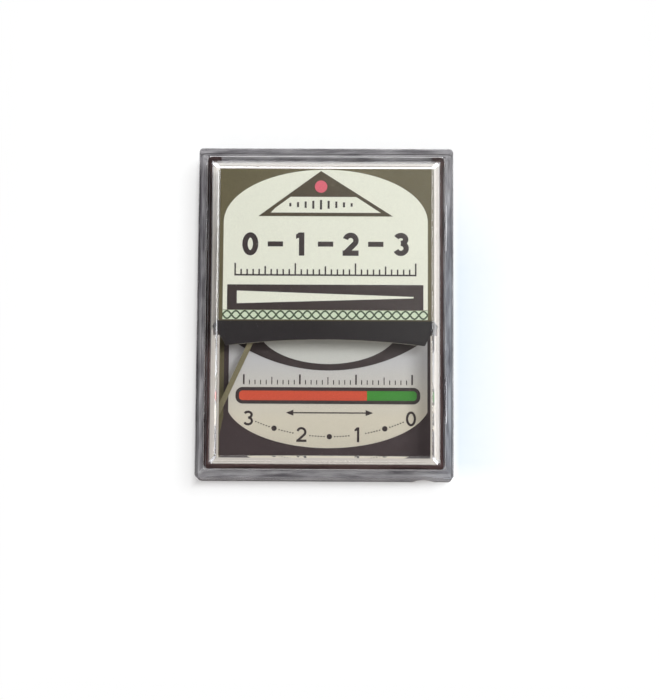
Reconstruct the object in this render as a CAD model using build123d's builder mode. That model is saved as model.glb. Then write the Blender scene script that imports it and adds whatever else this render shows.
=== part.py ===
from build123d import *
from math import asin, atan2, cos, degrees, radians, sin
import os

os.makedirs("parts", exist_ok=True)

# Pocket paint thickness gauge, lying face up. Millimetres.
# +Z is up out of the face, +Y runs to the top of the face, and the back lies on z = 0.

# Rear case: a clear moulded tray. Its height and depth follow from what it holds.
case_width = 50.0
case_wall = 1.6
case_floor = 1.4
case_corner_radius = 0.8
cavity_corner_radius = 0.5
back_edge_chamfer = 0.3
rim_edge_chamfer = 0.15
gate_notch_inset = 5.6
gate_notch_width = 4.4
gate_notch_depth = 0.4

# Front cover: a clear cap pushed inside the tray, hollow under its raised, bevelled window
cover_gap = 0.15
skirt_wall = 1.35
skirt_card_gap = 0.1
skirt_corner_radius = 0.9
inside_corner_radius = 0.5
shoulder_width = 0.85
window_thickness = 1.5
window_step = 0.2
bevel_width = 1.55
bevel_rise = 1.6
bevel_edge_radius = 0.15
recess_inset = 0.05

# Snaps: beads on the cover's skirt, and grooves for them in the tray
bead_radius = 0.3
bead_length = 9.0
bead_height = 4.2
bead_spacing = 34.0
groove_clearance = 0.05

# Face card in the recess under the window, with an apron folded down in front of the works
face_card_height = 30.0
scale_view_height = 27.6
card_thickness = 0.35
card_edge_gap = 0.1
window_card_gap = 0.1
ink = 0.05
fold_radius = 0.5
apron_reach = 4.5
apron_foot_inset = 1.2
apron_arch = 1.1
apron_needle_gap = 0.3
tab_side_gap = 0.3
tab_clearance = 0.1
tab_length = 1.3

# Mat: a pale board frame round the inside of the skirt, below the face card's edges
mat_thickness = 0.4
mat_width = 1.25
mat_drop = 1.4
mat_edge_gap = 0.1
mat_notch_width = 1.5
mat_notch_depth = 0.9
mat_notch_drop = 0.15

# Print on the face card
print_margin = 0.75
strip_gap = 0.1
hatch_height = 1.8
banner_inset = 0.85
banner_height = 4.95
arch_margin = 0.15
arch_rise = 10.5
triangle_gap = 0.27
triangle_height = 9.04
triangle_half_base = 13.15
panel_gap = 0.7
panel_height = 3.15
panel_low_half_width = 10.75
panel_high_half_width = 6.9
sensor_dot_radius = 1.22

# Scale card on the floor of the case, and the print on it, from its foot up
scale_card_thickness = 0.25
scale_card_edge_gap = 0.2
scale_leg_width = 2.3
scale_card_cover = 5.6
scale_shift_x = 0.55
scale_side_margin = 1.1
field_foot_margin = 3.35
field_bulge = 9.4
field_bulge_side = 0.6
arc_low_height = 18.7
arc_side_rise = 6.38
arc_side_edge = 1.32
crescent_gap = 1.3
crescent_rise = 7.4
crescent_inset = 5.6
bar_low_height = 12.05
bar_height = 3.3
bar_inset = 1.4
bar_line = 0.7
bar_corner_radius = 1.4
red_share = 0.72
dot_arc_radius = 37.5
dot_arc_shift_x = 0.9
dot_step_deg = 16.87
dot_radius = 0.53

# Works: a magnet and a long needle on one arbor, between two bearings
pivot_x = -0.95
arbor_radius = 0.4
arbor_clearance = 0.03
arbor_end_gap = 0.05
bearing_web = 0.3
rear_bearing_radius = 1.2
rear_bearing_proud = 0.3
bearing_boss_wall = 1.0
bearing_boss_height = 1.0
rotor_radius = 3.0
rotor_height = 1.1
rotor_gap = 0.25
needle_boss_radius = 1.2
needle_boss_height = 0.55
boss_neck_radius = 0.75
boss_neck_proud = 0.3

# Needle, which rests near the left wall and swings as far to the right
needle_thickness = 0.25
needle_tip_past_dots = 0.75
needle_tip_height = 4.85
needle_side_gap = 0.66
needle_tip_width = 1.0
needle_root_width = 1.6
needle_taper_length = 20.0
needle_point_length = 0.6
needle_hub_radius = 1.7
tail_length = 3.4
tail_room = 1.35
counterweight_radius = 0.8
counterweight_height = 0.7
counterweight_inset = 0.1

# Hairspring, and what holds its two ends
spring_turns = 4
spring_pitch = 0.62
spring_strip = 0.12
spring_height = 0.4
spring_lift = 0.35
collet_radius = 1.0
collet_wrap_gap = 0.05
collet_proud = 0.2
collet_slit = 0.2
stud_radius = 0.4
stud_gap = 0.02
stud_past_spring = 0.1

# Bridge over the works, on two posts
bridge_gap = 0.25
bridge_thickness = 0.8
bridge_overhang = 0.5
post_radius = 1.8
post_room = 2.73
post_foot_chamfer = 0.4
screw_radius = 0.75
screw_hole_clearance = 0.08
screw_head_radius = 1.4
screw_head_height = 0.5
screw_length = 3.4
screw_slot_width = 0.35
screw_slot_depth = 0.25
screw_card_gap = 0.85
front_bearing_radius = 1.0
front_bearing_proud = 0.2

# Bias magnet in its frame on the floor, and the needle's two stop pins
magnet_width = 6.0
magnet_length = 3.0
magnet_height = 2.0
magnet_chamfer = 0.2
magnet_gap = 4.0
frame_wall = 0.8
frame_height = 1.2
frame_clearance = 0.05
stop_reach = 14.0
stop_radius = 0.5
stop_clearance = 0.15
stop_proud = 0.6
stop_boss_wall = 0.8
stop_boss_height = 1.2

# Plan of the case and cover: half sizes of each outline
recess_flare = shoulder_width + bevel_width + recess_inset - skirt_wall
inside_y = (recess_flare + card_edge_gap + face_card_height + scale_view_height) / 2
skirt_y = inside_y + skirt_wall
cavity_y = skirt_y + cover_gap
case_height = 2 * (cavity_y + case_wall)
foot_y = skirt_y - shoulder_width
cavity_x = case_width / 2 - case_wall
skirt_x = cavity_x - cover_gap
inside_x = skirt_x - skirt_wall
foot_x = skirt_x - shoulder_width
recess_x = inside_x - recess_flare
recess_y = inside_y - recess_flare
bead_y_places = (-bead_spacing / 2, bead_spacing / 2)

# Heights, from the back up through the works to the window
bearing_top_z = case_floor + bearing_boss_height + rear_bearing_proud
rotor_z = bearing_top_z + rotor_gap
needle_boss_z = rotor_z + rotor_height
needle_z = needle_boss_z + needle_boss_height
needle_top_z = needle_z + needle_thickness
spring_z = needle_top_z + counterweight_height + spring_lift
collet_z = spring_z - collet_proud
collet_height = spring_height + 2 * collet_proud
bridge_z = collet_z + collet_height + bridge_gap
bridge_top_z = bridge_z + bridge_thickness
front_bearing_top_z = bridge_top_z + front_bearing_proud
card_z = bridge_top_z + screw_head_height + screw_card_gap
field_ink_z = card_z + card_thickness
mark_ink_z = field_ink_z + ink
top_ink_z = mark_ink_z + ink
window_under_z = top_ink_z + ink + window_card_gap
case_depth = window_under_z + window_thickness
bevel_slope = bevel_rise / bevel_width
recess_z = window_under_z - recess_flare * bevel_slope
rim_z = case_depth - bevel_rise - window_step
bead_z = case_floor + bead_height
apron_foot_z = needle_top_z + apron_needle_gap + card_thickness
arbor_foot_z = case_floor + bearing_web + arbor_end_gap
arbor_top_z = front_bearing_top_z - bearing_web - arbor_end_gap
scale_field_z = case_floor + scale_card_thickness
scale_mark_z = scale_field_z + ink
skirt_foot_z = scale_field_z + skirt_card_gap
mat_z = card_z - mat_drop - mat_thickness

# Plan of the face print
card_x = recess_x - card_edge_gap
card_y = recess_y - card_edge_gap
fold_y = card_y - face_card_height
print_x = card_x - print_margin
arch_centre_y = card_y - arch_margin - arch_rise
hatch_y = fold_y + strip_gap
banner_y = hatch_y + hatch_height + strip_gap
triangle_top_y = card_y - arch_margin - triangle_gap
triangle_base_y = triangle_top_y - triangle_height
panel_y = triangle_base_y + panel_gap

# Tabs on the apron, which lodge under the slope of the recess
apron_slope = (field_ink_z - apron_foot_z) / apron_reach
tab_x = inside_x - tab_side_gap
tab_y = fold_y - ((tab_x - recess_x) * bevel_slope + tab_clearance) / apron_slope

# Plan of the mat, and of the scale card's outline under the skirt
mat_x = inside_x - mat_edge_gap
mat_y = inside_y - mat_edge_gap
scale_card_x = cavity_x - scale_card_edge_gap
scale_card_y = cavity_y - scale_card_edge_gap

# Plan of the scale print
scale_foot_y = -inside_y
field_x = card_x - scale_side_margin
field_foot_y = scale_foot_y + field_foot_margin
field_shoulder_y = field_foot_y + field_bulge
arc_low_y = scale_foot_y + arc_low_height
arc_radius = (field_x**2 + arc_side_rise**2) / (2 * arc_side_rise)
field_top_y = arc_low_y + arc_side_rise + arc_side_edge
field_height = field_top_y - field_foot_y
crescent_y = arc_low_y + crescent_gap + crescent_rise
bar_y = scale_foot_y + bar_low_height + bar_height / 2
bar_x = field_x - bar_inset
bar_inside_x = bar_x - bar_line
bar_inside_height = bar_height - 2 * bar_line
zone_split_x = scale_shift_x + bar_inside_x * (2 * red_share - 1)

# Plan of the works
pivot_y = inside_y - tail_length - tail_room
pivot = (pivot_x, pivot_y)
bore_radius = arbor_radius + arbor_clearance
needle_tip_y = scale_foot_y + needle_tip_height
needle_length = pivot_y - needle_tip_y
dot_arc_low_y = needle_tip_y + needle_tip_past_dots
needle_rest_deg = degrees(asin((inside_x - needle_side_gap + pivot_x) / needle_length))
counterweight_reach = tail_length - counterweight_inset - counterweight_radius
spring_inner_radius = collet_radius + collet_wrap_gap
spring_end_radius = spring_inner_radius + spring_turns * spring_pitch + spring_strip
stud_reach = spring_end_radius + stud_gap + stud_radius
post_reach = stud_reach + stud_radius + post_room + post_radius
post_places = [(pivot_x - post_reach, pivot_y), (pivot_x + post_reach, pivot_y)]
magnet_place = (pivot_x, pivot_y - rotor_radius - magnet_gap - magnet_length / 2)


def blade_half_width(reach):
    """Half the needle's width at a distance from its pivot."""
    share = min(reach / needle_taper_length, 1.0)
    return (needle_root_width + (needle_tip_width - needle_root_width) * share) / 2


def stop_place(side):
    """Centre of the pin just past the needle at the end of its swing on that side."""
    room = blade_half_width(stop_reach) + stop_radius + stop_clearance
    pin_angle = side * (radians(needle_rest_deg) + asin(room / stop_reach))
    return (pivot_x + stop_reach * sin(pin_angle), pivot_y - stop_reach * cos(pin_angle))


stop_places = [stop_place(-1), stop_place(1)]

# Rear case: a floor and four walls in one moulding, with what stands on the floor
with BuildPart() as rear_case:
    with BuildSketch():
        RectangleRounded(case_width, case_height, case_corner_radius)
    extrude(amount=rim_z)
    chamfer(rear_case.faces().sort_by(Axis.Z)[0].edges(), length=back_edge_chamfer)
    with BuildSketch(Plane.XY.offset(case_floor)):
        RectangleRounded(2 * cavity_x, 2 * cavity_y, cavity_corner_radius)
    extrude(amount=rim_z - case_floor, mode=Mode.SUBTRACT)
    chamfer(rear_case.faces().sort_by(Axis.Z)[-1].edges(), length=rim_edge_chamfer)

    # Shallow flute down the lower wall, where the moulding's gate was cut off
    gate_radius = (gate_notch_width**2 / 4 + gate_notch_depth**2) / (2 * gate_notch_depth)
    gate_x = case_width / 2 - gate_notch_inset
    gate_y = gate_notch_depth - case_height / 2 - gate_radius
    with BuildSketch():
        with Locations((gate_x, gate_y)):
            Circle(gate_radius)
    extrude(amount=rim_z, mode=Mode.SUBTRACT)

    # Grooves that the cover's beads snap into
    with Locations(*[(side * cavity_x, y, bead_z) for side in (-1, 1) for y in bead_y_places]):
        Cylinder(
            bead_radius + groove_clearance,
            bead_length + 2 * groove_clearance,
            rotation=(90, 0, 0),
            mode=Mode.SUBTRACT,
        )

    # Two posts for the bridge, each with a chamfered foot and a pilot hole
    with BuildSketch(Plane.XY.offset(case_floor)):
        with Locations(*post_places):
            Circle(post_radius)
    extrude(amount=bridge_z - case_floor)
    with Locations(*[(x, y, case_floor) for x, y in post_places]):
        Cone(
            post_radius + post_foot_chamfer,
            post_radius,
            post_foot_chamfer,
            align=(Align.CENTER, Align.CENTER, Align.MIN),
        )
    with BuildSketch(Plane.XY.offset(bridge_z)):
        with Locations(*post_places):
            Circle(screw_radius)
    extrude(amount=bridge_thickness - screw_length, mode=Mode.SUBTRACT)

    # Boss with a pocket for the rear bearing
    with BuildSketch(Plane.XY.offset(case_floor)):
        with Locations(pivot):
            Circle(rear_bearing_radius + bearing_boss_wall)
            Circle(rear_bearing_radius, mode=Mode.SUBTRACT)
    extrude(amount=bearing_boss_height)

    # Bosses for the stop pins
    with BuildSketch(Plane.XY.offset(case_floor)):
        with Locations(*stop_places):
            Circle(stop_radius + stop_boss_wall)
            Circle(stop_radius, mode=Mode.SUBTRACT)
    extrude(amount=stop_boss_height)

    # Frame round the bias magnet
    with BuildSketch(Plane.XY.offset(case_floor)):
        with Locations(magnet_place):
            Rectangle(
                magnet_width + 2 * (frame_clearance + frame_wall),
                magnet_length + 2 * (frame_clearance + frame_wall),
            )
            Rectangle(
                magnet_width + 2 * frame_clearance,
                magnet_length + 2 * frame_clearance,
                mode=Mode.SUBTRACT,
            )
    extrude(amount=frame_height)
rear_case.part.label = "rear_case"
export_step(rear_case.part, "parts/rear_case.step")

# Front cover: skirt, shoulder and bevelled window in one clear moulding
with BuildPart() as front_cover:
    with BuildSketch(Plane.XY.offset(skirt_foot_z)):
        RectangleRounded(2 * skirt_x, 2 * skirt_y, skirt_corner_radius)
    extrude(amount=rim_z - skirt_foot_z)
    with BuildSketch(Plane.XY.offset(rim_z)):
        Rectangle(2 * foot_x, 2 * foot_y)
    extrude(amount=window_step)
    with BuildSketch(Plane.XY.offset(rim_z + window_step)):
        Rectangle(2 * foot_x, 2 * foot_y)
    extrude(amount=bevel_rise, taper=degrees(atan2(bevel_width, bevel_rise)))
    fillet(front_cover.faces().sort_by(Axis.Z)[-1].edges(), radius=bevel_edge_radius)
    with BuildSketch(Plane.XY.offset(skirt_foot_z)):
        RectangleRounded(2 * inside_x, 2 * inside_y, inside_corner_radius)
    extrude(amount=recess_z - skirt_foot_z, mode=Mode.SUBTRACT)
    # Recess under the window, its sides parallel to the bevel
    with BuildSketch(Plane.XY.offset(recess_z)):
        Rectangle(2 * inside_x, 2 * inside_y)
    extrude(
        amount=window_under_z - recess_z,
        taper=degrees(atan2(bevel_width, bevel_rise)),
        mode=Mode.SUBTRACT,
    )
    # Snap beads, half sunk in the long sides of the skirt
    with Locations(*[(side * skirt_x, y, bead_z) for side in (-1, 1) for y in bead_y_places]):
        Cylinder(bead_radius, bead_length, rotation=(90, 0, 0))
front_cover.part.label = "front_cover"
export_step(front_cover.part, "parts/front_cover.step")

# Face card: flat under the window, bent once, with the apron sloping back to its foot
with BuildPart() as face_card:
    with BuildSketch(Plane.YZ):
        with BuildLine():
            card_line = FilletPolyline(
                (card_y, field_ink_z),
                (fold_y, field_ink_z),
                (fold_y - apron_reach, apron_foot_z),
                radius=fold_radius + card_thickness,
            )
            offset(card_line, amount=card_thickness, side=Side.LEFT)
        make_face()
    extrude(amount=tab_x, both=True)
    # Outline in plan: square above the fold, then a tab each side, then an arched foot
    with BuildSketch():
        with BuildLine():
            foot_left = (apron_foot_inset - card_x, fold_y - apron_reach)
            foot_right = (card_x - apron_foot_inset, fold_y - apron_reach)
            Polyline(
                foot_left,
                (-card_x, tab_y - tab_length),
                (-tab_x, tab_y),
                (-card_x, fold_y),
                (-card_x, card_y),
                (card_x, card_y),
                (card_x, fold_y),
                (tab_x, tab_y),
                (card_x, tab_y - tab_length),
                foot_right,
            )
            ThreePointArc(foot_right, (0, fold_y - apron_reach + apron_arch), foot_left)
        make_face()
    extrude(amount=case_depth, mode=Mode.INTERSECT)
face_card.part.label = "face_card"
export_step(face_card.part, "parts/face_card.step")

# Mat: its long sides are notched where the apron's tabs pass through
with BuildPart() as card_mat:
    with BuildSketch(Plane.XY.offset(mat_z)):
        Rectangle(2 * mat_x, 2 * mat_y)
        Rectangle(2 * (mat_x - mat_width), 2 * (mat_y - mat_width), mode=Mode.SUBTRACT)
        with Locations((0, tab_y - mat_notch_drop)):
            Rectangle(
                2 * (mat_x - mat_width + mat_notch_depth),
                mat_notch_width,
                align=(Align.CENTER, Align.MAX),
                mode=Mode.SUBTRACT,
            )
    extrude(amount=mat_thickness)
card_mat.part.label = "card_mat"
export_step(card_mat.part, "parts/card_mat.step")

# Pale field of the face, with an arched top
with BuildPart() as arch_field:
    with BuildSketch(Plane.XY.offset(field_ink_z)):
        with Locations((0, arch_centre_y)):
            Ellipse(print_x, arch_rise)
            Rectangle(2 * print_x, 2 * arch_rise, align=(Align.CENTER, Align.MAX), mode=Mode.SUBTRACT)
        with Locations((0, banner_y)):
            Rectangle(2 * print_x, arch_centre_y - banner_y, align=(Align.CENTER, Align.MIN))
    extrude(amount=ink)
arch_field.part.label = "arch_field"
export_step(arch_field.part, "parts/arch_field.step")

# Hatched strip along the fold, below the field
with BuildPart() as hatch_strip:
    with BuildSketch(Plane.XY.offset(field_ink_z)):
        with Locations((0, hatch_y)):
            Rectangle(2 * print_x, hatch_height, align=(Align.CENTER, Align.MIN))
    extrude(amount=ink)
hatch_strip.part.label = "hatch_strip"
export_step(hatch_strip.part, "parts/hatch_strip.step")

# Dark title banner across the foot of the field
with BuildPart() as title_banner:
    with BuildSketch(Plane.XY.offset(mark_ink_z)):
        with Locations((0, banner_y)):
            Rectangle(2 * (print_x - banner_inset), banner_height, align=(Align.CENTER, Align.MIN))
    extrude(amount=ink)
title_banner.part.label = "title_banner"
export_step(title_banner.part, "parts/title_banner.step")

# Dark triangle round the sensor's mark
with BuildPart() as sensor_triangle:
    with BuildSketch(Plane.XY.offset(mark_ink_z)):
        Polygon(
            (pivot_x, triangle_top_y),
            (-triangle_half_base, triangle_base_y),
            (triangle_half_base, triangle_base_y),
            align=None,
        )
    extrude(amount=ink)
sensor_triangle.part.label = "sensor_triangle"
export_step(sensor_triangle.part, "parts/sensor_triangle.step")

# Pale panel in the foot of the triangle
with BuildPart() as sensor_panel:
    with BuildSketch(Plane.XY.offset(top_ink_z)):
        Polygon(
            (-panel_low_half_width, panel_y),
            (panel_low_half_width, panel_y),
            (pivot_x + panel_high_half_width, panel_y + panel_height),
            (pivot_x - panel_high_half_width, panel_y + panel_height),
            align=None,
        )
    extrude(amount=ink)
sensor_panel.part.label = "sensor_panel"
export_step(sensor_panel.part, "parts/sensor_panel.step")

# Red dot that marks the sensor, over the pivot
with BuildPart() as sensor_dot:
    with BuildSketch(Plane.XY.offset(top_ink_z)):
        with Locations(pivot):
            Circle(sensor_dot_radius)
    extrude(amount=ink)
sensor_dot.part.label = "sensor_dot"
export_step(sensor_dot.part, "parts/sensor_dot.step")

# Scale card on the floor of the case: the skirt stands on its border, and a leg runs up
# each side of the works
with BuildPart() as scale_card:
    with BuildSketch(Plane.XY.offset(case_floor)):
        Rectangle(2 * scale_card_x, 2 * scale_card_y)
        with Locations((0, fold_y + scale_card_cover)):
            Rectangle(
                2 * (scale_card_x - scale_leg_width),
                2 * scale_card_y,
                align=(Align.CENTER, Align.MIN),
                mode=Mode.SUBTRACT,
            )
    extrude(amount=scale_card_thickness)
scale_card.part.label = "scale_card"
export_step(scale_card.part, "parts/scale_card.step")

# Pale field of the scale, with a bulging foot
with BuildPart() as scale_field:
    with BuildSketch(Plane.XY.offset(scale_field_z)):
        with Locations((scale_shift_x, field_shoulder_y)):
            Ellipse(field_x + field_bulge_side, field_bulge)
            Rectangle(2 * field_x, 2 * field_bulge, align=(Align.CENTER, Align.MAX), mode=Mode.INTERSECT)
            Rectangle(2 * field_x, field_top_y - field_shoulder_y, align=(Align.CENTER, Align.MIN))
    extrude(amount=ink)
scale_field.part.label = "scale_field"
export_step(scale_field.part, "parts/scale_field.step")

# Dark band of the scale's upper arc
with BuildPart() as scale_arc:
    with BuildSketch(Plane.XY.offset(scale_mark_z)):
        with Locations((scale_shift_x, arc_low_y + arc_radius)):
            Circle(arc_radius)
        with Locations((scale_shift_x, field_top_y)):
            Rectangle(2 * field_x, field_height, align=(Align.CENTER, Align.MAX), mode=Mode.INTERSECT)
        with Locations((scale_shift_x, crescent_y)):
            Ellipse(field_x - crescent_inset, crescent_rise, mode=Mode.SUBTRACT)
    extrude(amount=ink)
scale_arc.part.label = "scale_arc"
export_step(scale_arc.part, "parts/scale_arc.step")

# Grey crescent inside the dark band
with BuildPart() as scale_crescent:
    with BuildSketch(Plane.XY.offset(scale_mark_z)):
        with Locations((scale_shift_x, crescent_y)):
            Ellipse(field_x - crescent_inset, crescent_rise)
        with Locations((scale_shift_x, field_top_y)):
            Rectangle(2 * field_x, field_height, align=(Align.CENTER, Align.MAX), mode=Mode.INTERSECT)
    extrude(amount=ink)
scale_crescent.part.label = "scale_crescent"
export_step(scale_crescent.part, "parts/scale_crescent.step")

# Black outline of the colour bar
with BuildPart() as bar_frame:
    with BuildSketch(Plane.XY.offset(scale_mark_z)):
        with Locations((scale_shift_x, bar_y)):
            RectangleRounded(2 * bar_x, bar_height, bar_corner_radius)
            RectangleRounded(
                2 * bar_inside_x,
                bar_inside_height,
                bar_corner_radius - bar_line,
                mode=Mode.SUBTRACT,
            )
    extrude(amount=ink)
bar_frame.part.label = "bar_frame"
export_step(bar_frame.part, "parts/bar_frame.step")

# Red zone, over the thick end of the scale
with BuildPart() as red_zone:
    with BuildSketch(Plane.XY.offset(scale_mark_z)):
        with Locations((scale_shift_x, bar_y)):
            RectangleRounded(2 * bar_inside_x, bar_inside_height, bar_corner_radius - bar_line)
        with Locations((zone_split_x, bar_y)):
            Rectangle(3 * bar_x, bar_height, align=(Align.MAX, Align.CENTER), mode=Mode.INTERSECT)
    extrude(amount=ink)
red_zone.part.label = "red_zone"
export_step(red_zone.part, "parts/red_zone.step")

# Green zone, over its thin end
with BuildPart() as green_zone:
    with BuildSketch(Plane.XY.offset(scale_mark_z)):
        with Locations((scale_shift_x, bar_y)):
            RectangleRounded(2 * bar_inside_x, bar_inside_height, bar_corner_radius - bar_line)
        with Locations((zone_split_x, bar_y)):
            Rectangle(3 * bar_x, bar_height, align=(Align.MIN, Align.CENTER), mode=Mode.INTERSECT)
    extrude(amount=ink)
green_zone.part.label = "green_zone"
export_step(green_zone.part, "parts/green_zone.step")

# Half-step dots, on the arc that the scale's numerals stand on
with BuildPart() as scale_dots:
    with BuildSketch(Plane.XY.offset(scale_mark_z)):
        with Locations((dot_arc_shift_x, dot_arc_low_y + dot_arc_radius)):
            with PolarLocations(dot_arc_radius, 3, -90 - dot_step_deg, 2 * dot_step_deg, endpoint=True):
                Circle(dot_radius)
    extrude(amount=ink)
scale_dots.part.label = "scale_dots"
export_step(scale_dots.part, "parts/scale_dots.step")

# Rear bearing: a bush with a blind bore, in its boss on the floor
with BuildPart() as rear_bearing:
    with BuildSketch(Plane.XY.offset(case_floor)):
        with Locations(pivot):
            Circle(rear_bearing_radius)
    extrude(amount=bearing_top_z - case_floor)
    with BuildSketch(Plane.XY.offset(case_floor + bearing_web)):
        with Locations(pivot):
            Circle(bore_radius)
    extrude(amount=bearing_top_z - case_floor, mode=Mode.SUBTRACT)
rear_bearing.part.label = "rear_bearing"
export_step(rear_bearing.part, "parts/rear_bearing.step")

# Arbor that everything turning is fixed on
with BuildPart() as needle_arbor:
    with BuildSketch(Plane.XY.offset(arbor_foot_z)):
        with Locations(pivot):
            Circle(arbor_radius)
    extrude(amount=arbor_top_z - arbor_foot_z)
    chamfer(needle_arbor.edges().filter_by(GeomType.CIRCLE), length=arbor_radius / 4)
needle_arbor.part.label = "needle_arbor"
export_step(needle_arbor.part, "parts/needle_arbor.step")

# Turning magnet, a disc magnetised across its width
with BuildPart() as rotor_magnet:
    with BuildSketch(Plane.XY.offset(rotor_z)):
        with Locations(pivot):
            Circle(rotor_radius)
    extrude(amount=rotor_height)
    chamfer(rotor_magnet.edges().filter_by(GeomType.CIRCLE), length=magnet_chamfer)
    with BuildSketch(Plane.XY.offset(rotor_z)):
        with Locations(pivot):
            Circle(arbor_radius)
    extrude(amount=rotor_height, mode=Mode.SUBTRACT)
rotor_magnet.part.label = "rotor_magnet"
export_step(rotor_magnet.part, "parts/rotor_magnet.step")

# Turned boss: the needle sits on its shoulder, round its neck
with BuildPart() as needle_boss:
    with BuildSketch(Plane.XZ.offset(-pivot_y)):
        with BuildLine():
            Polyline(
                (pivot_x + arbor_radius, needle_boss_z),
                (pivot_x + needle_boss_radius, needle_boss_z),
                (pivot_x + needle_boss_radius, needle_z),
                (pivot_x + boss_neck_radius, needle_z),
                (pivot_x + boss_neck_radius, needle_top_z + boss_neck_proud),
                (pivot_x + arbor_radius, needle_top_z + boss_neck_proud),
                close=True,
            )
        make_face()
    revolve(axis=Axis((pivot_x, pivot_y, 0), (0, 0, 1)))
needle_boss.part.label = "needle_boss"
export_step(needle_boss.part, "parts/needle_boss.step")

# Needle: one blanked strip with a hub, a long tapered blade and a short tail
rest_angle = radians(needle_rest_deg)
needle_plane = Plane(
    origin=(pivot_x, pivot_y, needle_z),
    x_dir=(-sin(rest_angle), -cos(rest_angle), 0),
    z_dir=(0, 0, 1),
)
with BuildPart() as needle:
    with BuildSketch(needle_plane):
        with BuildLine():
            blade_side = [
                (-tail_length, needle_root_width / 2),
                (0, needle_root_width / 2),
                (needle_taper_length, needle_tip_width / 2),
                (needle_length - needle_point_length, needle_tip_width / 2),
            ]
            Polyline(
                *blade_side,
                (needle_length, 0),
                *[(reach, -half) for reach, half in reversed(blade_side)],
                close=True,
            )
        make_face()
        Circle(needle_hub_radius)
        Circle(boss_neck_radius, mode=Mode.SUBTRACT)
    extrude(amount=needle_thickness)
needle.part.label = "needle"
export_step(needle.part, "parts/needle.step")

# Counterweight, riveted on the needle's tail
with BuildPart() as counterweight:
    with BuildSketch(needle_plane.offset(needle_thickness)):
        with Locations((-counterweight_reach, 0)):
            Circle(counterweight_radius)
    extrude(amount=counterweight_height)
counterweight.part.label = "counterweight"
export_step(counterweight.part, "parts/counterweight.step")

# Slit collet that holds the hairspring's inner end
with BuildPart() as spring_collet:
    with BuildSketch(Plane.XY.offset(collet_z)):
        with Locations(pivot):
            Circle(collet_radius)
            Circle(arbor_radius, mode=Mode.SUBTRACT)
            Rectangle(2 * collet_radius, collet_slit, align=(Align.MAX, Align.CENTER), mode=Mode.SUBTRACT)
    extrude(amount=collet_height)
spring_collet.part.label = "spring_collet"
export_step(spring_collet.part, "parts/spring_collet.step")

# Hairspring: half turns about two centres in turn, so that each meets the next smoothly
with BuildPart() as hairspring:
    with BuildSketch(Plane((pivot_x, pivot_y, spring_z))):
        with BuildLine():
            for strip_side in (0, spring_strip):
                for turn in range(2 * spring_turns):
                    CenterArc(
                        ((turn % 2) * spring_pitch / 2, 0),
                        spring_inner_radius + strip_side + turn * spring_pitch / 2,
                        180 * (turn % 2),
                        180,
                    )
            Line((spring_inner_radius, 0), (spring_inner_radius + spring_strip, 0))
            Line((spring_end_radius - spring_strip, 0), (spring_end_radius, 0))
        make_face()
    extrude(amount=spring_height)
hairspring.part.label = "hairspring"
export_step(hairspring.part, "parts/hairspring.step")

# Stud that hangs from the bridge and holds the hairspring's outer end
with BuildPart() as spring_stud:
    with BuildSketch(Plane.XY.offset(spring_z - stud_past_spring)):
        with Locations((pivot_x + stud_reach, pivot_y)):
            Circle(stud_radius)
    extrude(amount=bridge_top_z - spring_z + stud_past_spring)
spring_stud.part.label = "spring_stud"
export_step(spring_stud.part, "parts/spring_stud.step")

# Bridge: a round-ended strip across the two posts
with BuildPart() as bridge:
    with BuildSketch(Plane.XY.offset(bridge_z)):
        with Locations(pivot):
            SlotCenterToCenter(2 * post_reach, 2 * (post_radius + bridge_overhang))
            Circle(front_bearing_radius, mode=Mode.SUBTRACT)
        with Locations(*post_places):
            Circle(screw_radius + screw_hole_clearance, mode=Mode.SUBTRACT)
        with Locations((pivot_x + stud_reach, pivot_y)):
            Circle(stud_radius, mode=Mode.SUBTRACT)
    extrude(amount=bridge_thickness)
bridge.part.label = "bridge"
export_step(bridge.part, "parts/bridge.step")

# Front bearing, pressed in the bridge with its blind bore facing back
with BuildPart() as front_bearing:
    with BuildSketch(Plane.XY.offset(bridge_z)):
        with Locations(pivot):
            Circle(front_bearing_radius)
    extrude(amount=front_bearing_top_z - bridge_z)
    with BuildSketch(Plane.XY.offset(bridge_z)):
        with Locations(pivot):
            Circle(bore_radius)
    extrude(amount=front_bearing_top_z - bearing_web - bridge_z, mode=Mode.SUBTRACT)
front_bearing.part.label = "front_bearing"
export_step(front_bearing.part, "parts/front_bearing.step")

# Two slotted screws that hold the bridge on its posts
with BuildPart() as bridge_screws:
    with BuildSketch(Plane.XY.offset(bridge_top_z - screw_length)):
        with Locations(*post_places):
            Circle(screw_radius)
    extrude(amount=screw_length)
    with BuildSketch(Plane.XY.offset(bridge_top_z)):
        with Locations(*post_places):
            Circle(screw_head_radius)
    extrude(amount=screw_head_height)
    with BuildSketch(Plane.XY.offset(bridge_top_z + screw_head_height)):
        with Locations(*post_places):
            Rectangle(3 * screw_head_radius, screw_slot_width)
    extrude(amount=-screw_slot_depth, mode=Mode.SUBTRACT)
bridge_screws.part.label = "bridge_screws"
export_step(bridge_screws.part, "parts/bridge_screws.step")

# Fixed bias magnet on the floor, below the pivot
with BuildPart() as bias_magnet:
    with BuildSketch(Plane.XY.offset(case_floor)):
        with Locations(magnet_place):
            Rectangle(magnet_width, magnet_length)
    extrude(amount=magnet_height)
    chamfer(bias_magnet.edges(), length=magnet_chamfer)
bias_magnet.part.label = "bias_magnet"
export_step(bias_magnet.part, "parts/bias_magnet.step")

# Stop pins, one at each end of the needle's swing
with BuildPart() as stop_pins:
    with BuildSketch(Plane.XY.offset(case_floor)):
        with Locations(*stop_places):
            Circle(stop_radius)
    extrude(amount=needle_top_z + stop_proud - case_floor)
    chamfer(stop_pins.edges().group_by(Axis.Z)[-1], length=stop_radius / 4)
stop_pins.part.label = "stop_pins"
export_step(stop_pins.part, "parts/stop_pins.step")

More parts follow.
